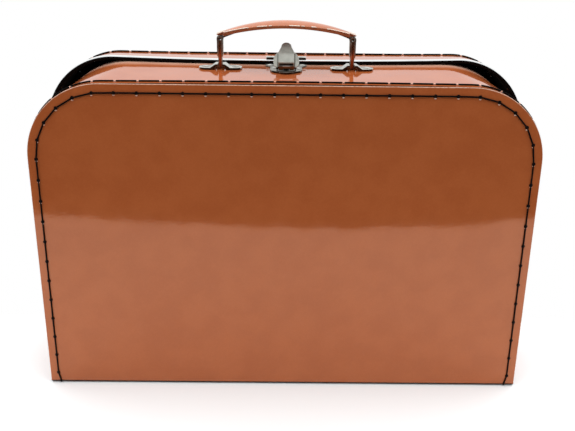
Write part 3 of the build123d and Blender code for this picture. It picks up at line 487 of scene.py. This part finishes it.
TAB, HEEL_RADIUS = 18 * MM, 3 * MM
HEEL_STEPS, TOP_STEPS, FLARE_STEPS = 6, 12, 6
BASE_FACE = Arch(HALF_WIDTH, HEIGHT, CORNER_RADIUS, 0)
BASE_FRONT = Arch(HALF_WIDTH, HEIGHT, CORNER_RADIUS, 0.6 * MM)
BASE_MOUTH = Arch(HALF_WIDTH, 0.2304, 0.060, -1.4 * MM)
WALL_EASE, GROOVE, FLARE, FLARE_LENGTH = 0.35 * MM, 0.5 * MM, 0.6 * MM, 26 * MM
wall_coat = coated_board("coated wall", 0.85, 1.34, sheen_depth=MOUTH_Y)
wall_finish = [wall_coat, cut_edge_highlight, painted_shade_finish]
bm = wall_strip(FRONT_Y + BOARD, BASE_FRONT, MOUTH_Y, BASE_MOUTH, BOARD, TAB, GROOVE, FLARE)
piece("base_wall_strip", bm, wall_finish, "base", ["base_wall"])


# Base tray, lining: matt black paper pasted over the inside of the face board and the wall. It
# ends short of the mouth and of the bottom.
def dressed(material, *names):
    """Gives the designed solids of these names their finish."""
    for name in names:
        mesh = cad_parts[name].data
        mesh.materials.clear()
        mesh.materials.append(material)


def lining_paper(name):
    """Matt paper: short fibres in the colour and a dry tooth."""
    paper = Finish(name)
    fibre = paper.noise(1500, 3, (1, 1, 0.3))
    colour = paper.mix(fibre.rise(0.3, 0.7), (0.008, 0.008, 0.008), (0.02, 0.019, 0.018))
    return paper.surface(Base_Color=colour, Roughness=0.95, Normal=paper.bump(fibre, 0.04 * MM))


black_paper = lining_paper("black lining paper")
dressed(black_paper, "base_lining")

# Base tray, sewing: black waxed thread through the face board and the turned wall. On the face it
# lies as long stitches with a knot at each hole, on the wall as dashes. The awl left pale burrs.
# Inside, a pale spot in each hole is painted light showing through it.
STITCH_PITCH, STITCH_GAP, STITCH_STEPS = 15.16 * MM, 2.4 * MM, 6
SEAM_INSET, SEAM_SET_BACK = 6 * MM, 5.7 * MM
LAST_KNOT_HEIGHT, TAIL_HEIGHT, TAIL_LEAN = 8 * MM, 1.3 * MM, 0.99
FACE_THREAD, WALL_THREAD, THREAD_TIP = 0.58 * MM, 0.65 * MM, 0.4
FACE_PROUD, WALL_PROUD = 0.3 * MM, 0.5 * MM
KNOT_SIZE = 1.3 * MM, 0.6 * MM, 1.3 * MM
BURR_SIZE, BURR_DROP, BURR_LOW = (0.85 * MM, 0.4 * MM, 0.55 * MM), 1.5 * MM, 120 * MM
WALL_BURR_SIZE = 0.8 * MM, 0.7 * MM, 0.5 * MM
# Size and depth of the pale spots inside the holes, painted light showing through them.
HOLE_LIGHT_SIZE, HOLE_LIGHT_DEPTH = (0.9 * MM, 0.9 * MM, 0.9 * MM), 0.8 * MM


def waxed_thread(name):
    """Black twisted thread with a dull wax shine."""
    thread = Finish(name)
    twist = thread.noise(2500, 1, (1, 1, 0.4))
    colour = thread.mix(twist.rise(0.4, 0.7), (0.002, 0.0015, 0.0015), (0.009, 0.006, 0.005))
    return thread.surface(
        Base_Color=colour, Roughness=0.6, IOR=1.12, Normal=thread.bump(twist, 0.15 * MM)
    )


def cord(paths, radius):
    """Tubes of this radius along the paths, narrowing at both ends, as a new mesh."""
    curve = bpy.data.curves.new("cord", "CURVE")
    curve.dimensions = "3D"
    curve.bevel_depth, curve.bevel_resolution, curve.use_fill_caps = radius, 3, True
    for path in paths:
        spline = curve.splines.new("POLY")
        spline.points.add(len(path) + 1)
        lead_in = path[0] + (path[0] - path[1]).normalized() * radius
        lead_out = path[-1] + (path[-1] - path[-2]).normalized() * radius
        for point, place in zip(spline.points, [lead_in, *path, lead_out]):
            point.co = (*place, 1)
        spline.points[0].radius = spline.points[-1].radius = THREAD_TIP
    maker = bpy.data.objects.new("cord", curve)
    mesh = bpy.data.meshes.new_from_object(maker)
    bpy.data.objects.remove(maker)
    bm = bmesh.new()
    bm.from_mesh(mesh)
    return bm


def bead(bm, place, radii, material=0):
    """A small squashed ball, as a knot or a burr."""
    size = Matrix.Translation(place) @ Matrix.Diagonal((*radii, 1))
    made = bmesh.ops.create_icosphere(bm, subdivisions=2, radius=1, matrix=size)["verts"]
    for face in {f for v in made for f in v.link_faces}:
        face.material_index = material


def sewing(name, face, wall, face_y, inward, start, body, replaced):
    """The thread of one tray, its knots, the burrs round its holes and pale spots inside them,
    painted light showing through. Counted in pitches from the middle of the top, the first hole to
    its right is at start."""
    low = face.height - face.radius
    half_length = face.middle + face.radius * pi / 2 + low - LAST_KNOT_HEIGHT
    count = int(half_length / STITCH_PITCH - start)
    right_runs = [(k + start) * STITCH_PITCH for k in range(count + 1)]
    runs = [-run for run in reversed(right_runs) if run > 0] + right_runs
    proud_y = face_y - inward * FACE_PROUD
    knots = [Vector((x, proud_y, z)) for x, z in (face.along(run, SEAM_INSET) for run in runs)]
    wall_y = face_y + inward * (SEAM_SET_BACK + WALL_THREAD)

    def on_wall(run, inset=-WALL_PROUD):
        x, z = wall.along(run, inset)
        return Vector((x, wall_y, z))

    tails = [
        (knot, Vector((knot.x * TAIL_LEAN, proud_y, TAIL_HEIGHT))) for knot in (knots[0], knots[-1])
    ]
    bm = cord([list(pair) for pair in (*zip(knots, knots[1:]), *tails)], FACE_THREAD)
    dash = STITCH_PITCH - STITCH_GAP
    dashes = [
        [on_wall(run + STITCH_GAP / 2 + dash * k / STITCH_STEPS) for k in range(STITCH_STEPS + 1)]
        for run in runs[:-1]
    ]
    sewn_wall = cord(dashes, WALL_THREAD)
    mesh = bpy.data.meshes.new("dashes")
    sewn_wall.to_mesh(mesh)
    sewn_wall.free()
    bm.from_mesh(mesh)
    for knot, run in zip(knots, runs):
        bead(bm, knot, KNOT_SIZE)
        if knot.z > BURR_LOW:
            bead(bm, knot - Vector((0, 0, BURR_DROP)), BURR_SIZE, 1)
        bead(bm, on_wall(run), WALL_BURR_SIZE, 1)
        # A pale spot inside the hole: painted light showing through it.
        bead(bm, on_wall(run, BOARD + HOLE_LIGHT_DEPTH), HOLE_LIGHT_SIZE, 2)
    materials = [black_thread, burr, hole_light_finish]
    piece(name, bm, materials, body, replaced, smooth=50)


black_thread, burr = waxed_thread("black waxed thread"), cut_edge("burr at the holes")
# Pale spots inside the holes: painted light showing through them.
hole_light = Finish("pale spots painted inside the holes as light")
hole_light_colour = hole_light.mix(hole_light.noise(900, 2), (0.75, 0.76, 0.77), (0.95, 0.95, 0.95))
hole_light_finish = hole_light.surface(Base_Color=hole_light_colour, Roughness=0.6)
base_seam_share = (SEAM_SET_BACK - BOARD) / (MOUTH_Y - FRONT_Y - BOARD)
base_seam_arch = BASE_FRONT.towards(BASE_MOUTH, base_seam_share)
sewing("base_sewing", BASE_FACE, base_seam_arch, FRONT_Y, 1, 1 / 2, "base", ["base_seam_thread"])


# Base tray, bottom rivets: plated steel, domed inside and pressed in flush outside, holding the
# turned feet of the wall to the folded bottom.
def plated_steel(name, pale, dark, roughness, scale=240, metal=1.0):
    """Nickel-plated steel: a cloudy plate over pressed sheet, with fine scratches."""
    steel = Finish(name)
    cloud = steel.noise(scale, 3).rise(0.3, 0.7)
    scratch = steel.noise(1800, 1, (1, 0.08, 0.3))
    return steel.surface(
        Base_Color=steel.mix(cloud, dark, pale),
        Metallic=metal,
        Roughness=roughness + 0.12 * scratch,
        Normal=steel.bump(scratch * 0.4 + cloud, 0.05 * MM),
    )


rivet_steel = plated_steel("rivet steel", (0.72, 0.72, 0.68), (0.48, 0.48, 0.45), 0.26)
dressed(rivet_steel, "base_corner_rivets", "lid_corner_rivets")

# Hinges: a pair on the bottom, pressed leaves with five rolled knuckles on a drawn pin, riveted
# to the inner faces of both bottoms.
plain_steel = plated_steel("plain drawn steel", (0.34, 0.33, 0.31), (0.22, 0.22, 0.21), 0.38)
fitting_steel = plated_steel("satin plated steel", (0.72, 0.72, 0.68), (0.55, 0.55, 0.51), 0.28)
for side in ("left", "right"):
    dressed(fitting_steel, f"base_hinge_leaf_{side}", f"lid_hinge_leaf_{side}")
    dressed(plain_steel, f"hinge_pin_{side}")
dressed(rivet_steel, "base_hinge_rivets", "lid_hinge_rivets")

# Lid: the same make as the base, face board, wall strip, paper and sewing, a little larger so that
# its wall slips over the base's mouth. Its last stretch is straight, for the rim.
LID_RIM = Arch(0.1796, 0.2339, 0.051, -2 * MM)
LID_BACK = Arch(0.178, 0.2324, 0.050, -0.6 * MM)
LID_FACE = Arch(0.178, 0.2324, 0.050, 0)
LID_MOUTH_Y, LID_STRAIGHT_Y = 0.017, 0.026
RIM_FOOT, NO_GROOVE = BOARD + HEEL_RADIUS, 0.02 * MM
bm = face_board(LID_FACE.half, LID_FACE.height, LID_FACE.radius, BACK_Y, -1, MOUTH_Y)
piece("lid_face_board", bm, face_finish, "lid", ["lid_panel"])
# In the lid's wall the groove beside the face board and the edge of the mouth are painted dark as
# shade.
bm = wall_strip(BACK_Y - BOARD, LID_BACK, LID_STRAIGHT_Y, LID_RIM, BOARD, TAB, GROOVE)
lid_coat = coated_board("coated lid wall", 0.8, 1.34)
piece("lid_wall_strip", bm, [lid_coat, lid_coat, painted_shade_finish], "lid", ["lid_wall"])
bm = wall_strip(LID_STRAIGHT_Y, LID_RIM, LID_MOUTH_Y, LID_RIM, RIM_FOOT, 0, NO_GROOVE)
piece("lid_wall_mouth", bm, [lid_coat, painted_shade_finish, lid_coat], "lid")
dressed(black_paper, "lid_lining")
lid_seam_share = (SEAM_SET_BACK - BOARD) / (BACK_Y - BOARD - LID_STRAIGHT_Y)
lid_seam_arch = LID_BACK.towards(LID_RIM, lid_seam_share)
sewing("lid_sewing", LID_FACE, lid_seam_arch, BACK_Y, -1, 0, "lid", ["lid_seam_thread"])

# Lid, rim: a channel of bright steel 0.6 mm thick pressed over the edge of the lid's mouth. It is
# round at the nose. The nose and the inner side are painted black as shade.
RIM_SHEET, RIM_GRIP, RIM_DEPTH = 0.6 * MM, 0.08 * MM, 3.5 * MM
RIM_NOSE, RIM_ROUND, NOSE_STEPS, NOSE_FACING = 0.38 * MM, 1.3 * MM, 6, 0.85


def rim_side(cover, nose_y, nose_round, end_y):
    """One skin of the channel's section, from the outer edge round the nose to the inner edge."""
    turns = [pi / 2 * k / NOSE_STEPS for k in range(NOSE_STEPS + 1)]
    outer = [
        (nose_y + nose_round * (1 - sin(turn)), LID_RIM, nose_round * (1 - cos(turn)) - cover)
        for turn in turns
    ]
    inner = [(y, arch, BOARD - inset) for y, arch, inset in reversed(outer)]
    return [(end_y, LID_RIM, -cover), *outer, *inner, (end_y, LID_RIM, BOARD + cover)]


def bright_steel(name):
    """Bright nickel plate with faint drawing lines along the rim."""
    bright = Finish(name)
    lines = bright.noise(700, 2, (0.02, 1, 0.02))
    wear = bright.noise(90, 3).rise(0.4, 0.7)
    return bright.surface(
        Base_Color=bright.mix(wear, (0.95, 0.97, 0.97), (0.86, 0.88, 0.88)),
        Metallic=1.0,
        Roughness=0.12 + 0.1 * lines,
        Normal=bright.bump(lines, 0.02 * MM),
    )


rim_front = LID_MOUTH_Y - RIM_NOSE - RIM_SHEET
rim_end = LID_MOUTH_Y + RIM_DEPTH
skin = rim_side(RIM_GRIP + RIM_SHEET, rim_front, RIM_ROUND, rim_end)
hollow = rim_side(RIM_GRIP, rim_front + RIM_SHEET, RIM_ROUND - RIM_SHEET, rim_end)
bm = swept(skin + hollow[::-1], RIM_FOOT, 0)
bm.normal_update()
# The nose and the inner side take the second finish: the thread's black, painted as shade.
for face in bm.faces:
    middle = face.calc_center_median()
    inner_side = LID_RIM.depth(middle.x, middle.z) > BOARD / 2
    face.material_index = int(inner_side or abs(face.normal.y) > NOSE_FACING)
rim_plate, rim_painted_shade = bright_steel("bright rim"), waxed_thread("rim nose and inside painted black as shade")
piece("bright_rim", bm, [rim_plate, rim_painted_shade], "lid", ["lid_rim"], smooth=40)


# Handle brackets: pressed steel plates, each with two hoods over the spread foot of its leg,
# riveted through the wall to backing plates. Their faces towards the front are painted dark brown
# as shade.
def softened(names, width, body, materials, kind=None, worked=None):
    """Copies of designed solids with their corners eased by this width and each face's material
    by its kind. They may be worked on before that."""
    for name in names:
        bm = bmesh.new()
        bm.from_mesh(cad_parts[name].data)
        bmesh.ops.remove_doubles(bm, verts=bm.verts, dist=SAME_PLACE)
        bmesh.ops.dissolve_limit(bm, angle_limit=radians(1), verts=bm.verts, edges=bm.edges)
        if worked:
            worked(bm)
        bm.normal_update()
        for face in bm.faces:
            face.material_index = int(kind(face)) if kind else 0
        corners = [e for e in bm.edges if e.is_manifold and e.calc_face_angle(0) > CORNER]
        eased(bm, corners, width)
        piece(f"{name}_eased", bm, materials, body, [name], smooth=42)


def faces_front(face):
    """The faces that look towards the front. On the fittings these are painted dark brown as shade.
    """
    return face.normal.y < FRONT_LIMIT


SAME_PLACE, CORNER, FRONT_LIMIT = 0.001 * MM, radians(38), -0.6
painted_shade_steel = plated_steel("steel painted dark brown as shade", (0.08, 0.045, 0.028), (0.03, 0.018, 0.012), 0.45)
fitting_finish = [fitting_steel, painted_shade_steel]
brackets = "handle_bracket_left", "handle_bracket_right"
softened(brackets, 0.18 * MM, "base", fitting_finish, faces_front)
dressed(fitting_steel, "bracket_backing_left", "bracket_backing_right")
dressed(rivet_steel, "bracket_rivets")


# Handle legs: strip folded double, its fold round the eye of the grip's core, both halves pressed
# together towards the foot that turns under the hoods. Down the middle of their front the case's
# orange reflection is painted.
def split(bm, point, normal):
    """Cuts every face that a plane crosses."""
    everything = [*bm.verts, *bm.edges, *bm.faces]
    bmesh.ops.bisect_plane(bm, geom=everything, plane_co=point, plane_no=normal)


def pressed_shut(bm):
    """Brings the two halves of a folded leg together below its eye, and broadens its neck."""
    side = copysign(1, next(iter(bm.verts)).co.x)
    for rise in (0, LEG_SPREAD):
        split(bm, (0, 0, LEG_NECK_Z + rise), (0, 0, 1))
    for vert in bm.verts:
        off = abs(vert.co.x) - LEG_X
        outward = copysign(1, vert.co.x)
        if LEG_NECK_Z + LEG_SPREAD / 2 < vert.co.z < LEG_EYE_Z:
            kept = LEG_SEAM if abs(off) < LEG_INNER else max(abs(off), LEG_HALF)
            vert.co.x += (copysign(kept, off) - off) * outward
    for off in (-LEG_MIDDLE, LEG_MIDDLE):
        split(bm, (side * LEG_X + off, 0, 0), (1, 0, 0))


def leg_middle(face):
    """The faces of a leg close to the line where its two halves meet, on its front below the eye,
    where the case's reflection is painted.
    """
    middle = face.calc_center_median()
    return faces_front(face) and abs(abs(middle.x) - LEG_X) < LEG_MIDDLE and middle.z < LEG_EYE_Z


LEG_X, LEG_NECK_Z, LEG_SPREAD, LEG_EYE_Z = 47.25 * MM, 237.4 * MM, 0.8 * MM, 248.9 * MM
LEG_SEAM, LEG_MIDDLE, LEG_INNER, LEG_HALF = 0.06 * MM, 0.7 * MM, 0.95 * MM, 2.0 * MM
leg_painted_reflection = plated_steel("case's reflection painted on the leg", (0.50, 0.20, 0.09), (0.36, 0.14, 0.06), 0.2)
leg_steel = plated_steel("dull plated steel", (0.50, 0.46, 0.40), (0.22, 0.19, 0.16), 0.34)
legs = "handle_leg_left", "handle_leg_right"
leg_finish = [leg_steel, leg_painted_reflection]
softened(legs, 0.15 * MM, "handle", leg_finish, leg_middle, pressed_shut)


# Grip: a steel core in a crowned cover of tan plastic, domed on top, with a thin tongue over each
# leg. A thin pale tube along the ridges of its upper edges is a painted highlight.
def moulded_cover(name):
    """Semi-gloss tan plastic: flow marks along the grip, patches of grime, and darker towards its
    ends.
    """
    cover = Finish(name)
    flow = cover.noise(90, 3, (0.15, 1, 1))
    grime = cover.noise(260, 3).rise(0.5, 0.75)
    ends = abs(cover.axis("X")).rise(GRIP_DARKER_FROM, GRIP_END)
    colour = cover.mix(flow.rise(0.3, 0.7), srgb(168, 96, 60), srgb(186, 112, 76))
    worn = cover.mix(ends * 0.55 + grime * 0.15, colour, srgb(96, 52, 30))
    return cover.surface(
        Base_Color=worn,
        Roughness=0.14 + 0.1 * grime,
        IOR=1.7,
        Normal=cover.bump(flow, 0.12 * MM),
    )


GRIP_DARKER_FROM, GRIP_END = 36 * MM, 50 * MM
CREST_RADIUS, CREST_LIFT = 0.4 * MM, 0.12 * MM
CREST_ANGLE, CREST_UP, CREST_OUT = radians(30), 0.5, 0.7
dressed(plain_steel, "grip_core")
highlight_pale, highlight_tan = (1.0, 0.92, 0.82), (0.9, 0.74, 0.6)
grip_painted_highlight = plated_steel("highlight painted along the grip's crest", highlight_pale, highlight_tan, 0.25, metal=0)
tan_cover = moulded_cover("tan grip cover")
softened(["grip_cover"], 0.4 * MM, "handle", [tan_cover])
shape = bmesh.new()
shape.from_mesh(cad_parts["grip_cover"].data)
bmesh.ops.remove_doubles(shape, verts=shape.verts, dist=SAME_PLACE)
shape.normal_update()
# A thin pale tube along each upper ridge: a painted highlight.
for side in (-1, 1):
    crest = {
        round(vert.co.x / MM): vert.co.copy()
        for edge in shape.edges
        if edge.is_manifold and edge.calc_face_angle(0) > CREST_ANGLE
        for vert in edge.verts
        if max(f.normal.z for f in edge.link_faces) > CREST_UP
        and max(side * f.normal.y for f in edge.link_faces) > CREST_OUT
    }
    path = [crest[x] + Vector((0, 0, CREST_LIFT)) for x in sorted(crest)]
    ridge = cord([path], CREST_RADIUS)
    piece(f"grip_painted_highlight_{side + 1}", ridge, [grip_painted_highlight], "handle")
shape.free()

# Latch: a lobed base plate riveted to the base, a lever on a pin between two lugs, a leaf spring
# under its front bar, and the strike on the lid that its hook holds.
LEVER_Y, LEVER_Z, LEVER_PITCH = -12.3 * MM, 231.79 * MM, radians(45)
LEVER_LOW, BLOCK_LOW = 1.65 * MM, 2.8 * MM
BAR_END, BAR_TOP, BAR_HALF = -1.0 * MM, 1.4 * MM, 5.5 * MM
HOLLOW_END, HOLLOW_TOP, HOLLOW_HALF = 10.25 * MM, 4.2 * MM, 4.95 * MM
BLOCK_HALF, BLOCK_END, BLOCK_GAP, BLOCK_SHADE = 5.6 * MM, 10.2 * MM, 0.02 * MM, 0.7 * MM
FLAT, NEARLY_FLAT, RAISED, TURNED_DOWN = 0.95, 0.8, 0.2, -0.8


def lever_kind(face):
    """2 for the plate's strip round the foot of the lever's block, which is in shadow, 1 for the
    faces below the plate, inside the block and on the front bar, painted brown as shade, and 0 for
    the rest."""
    middle = face.calc_center_median()
    rise, reach = middle.z - LEVER_Z, middle.y - LEVER_Y
    height = rise * cos(LEVER_PITCH) - reach * sin(LEVER_PITCH)
    along = reach * cos(LEVER_PITCH) + rise * sin(LEVER_PITCH)
    facing = face.normal.z * cos(LEVER_PITCH) - face.normal.y * sin(LEVER_PITCH)
    leaning = face.normal.y * cos(LEVER_PITCH) + face.normal.z * sin(LEVER_PITCH)
    in_bar = reach < BAR_END and rise < BAR_TOP and abs(middle.x) < BAR_HALF
    inside = along < HOLLOW_END and abs(middle.x) < HOLLOW_HALF and height < HOLLOW_TOP
    inside = inside and facing < FLAT and not (facing > RAISED and leaning < TURNED_DOWN)
    if height < LEVER_LOW or in_bar or inside:
        return 1
    off = abs(middle.x) - BLOCK_HALF
    beside = along < BLOCK_END + BLOCK_GAP and 0 < off < BLOCK_SHADE
    beyond = 0 < along - BLOCK_END < BLOCK_SHADE and off < 0
    return 2 * int(height < BLOCK_LOW and facing > NEARLY_FLAT and (beside or beyond))


def ringed(bm):
    """Splits the lever's plate round its block, for that strip."""
    up = Vector((0, cos(LEVER_PITCH), sin(LEVER_PITCH)))
    for shade in (BLOCK_GAP, BLOCK_SHADE):
        split(bm, Vector((0, LEVER_Y, LEVER_Z)) + up * (BLOCK_END + shade), up)
        for side in (-1, 1):
            split(bm, (side * (BLOCK_HALF + shade), 0, 0), (1, 0, 0))


worn_pale, worn_dark = (0.42, 0.44, 0.395), (0.33, 0.35, 0.31)
worn_steel = plated_steel("worn plated steel", worn_pale, worn_dark, 0.42, metal=0.15)
block_steel = plated_steel("shaded plated steel", (0.20, 0.20, 0.18), (0.14, 0.14, 0.12), 0.4)
plate_steel = plated_steel("dull plate steel", (0.42, 0.42, 0.38), (0.30, 0.30, 0.27), 0.4)
# The front faces of the plate and the strike are painted dark brown as shade.
plate_finish = [plate_steel, painted_shade_steel]
softened(["latch_base_plate"], 0.12 * MM, "base", plate_finish, faces_front)
brown_pale, brown_dark = (0.32, 0.14, 0.06), (0.13, 0.055, 0.025)
lever_painted_shade = plated_steel("inside of the lever painted brown as shade", brown_pale, brown_dark, 0.35)
lever_finish = [worn_steel, lever_painted_shade, block_steel]
softened(["latch_lever"], 0.22 * MM, "latch", lever_finish, lever_kind, ringed)
softened(["latch_strike"], 0.12 * MM, "lid", fitting_finish, faces_front)
dressed(rivet_steel, "latch_rivets", "latch_spring_rivet", "strike_rivets")
# The pin and the spring under the lever are painted dark brown as shade.
dressed(painted_shade_steel, "latch_pin", "latch_spring")
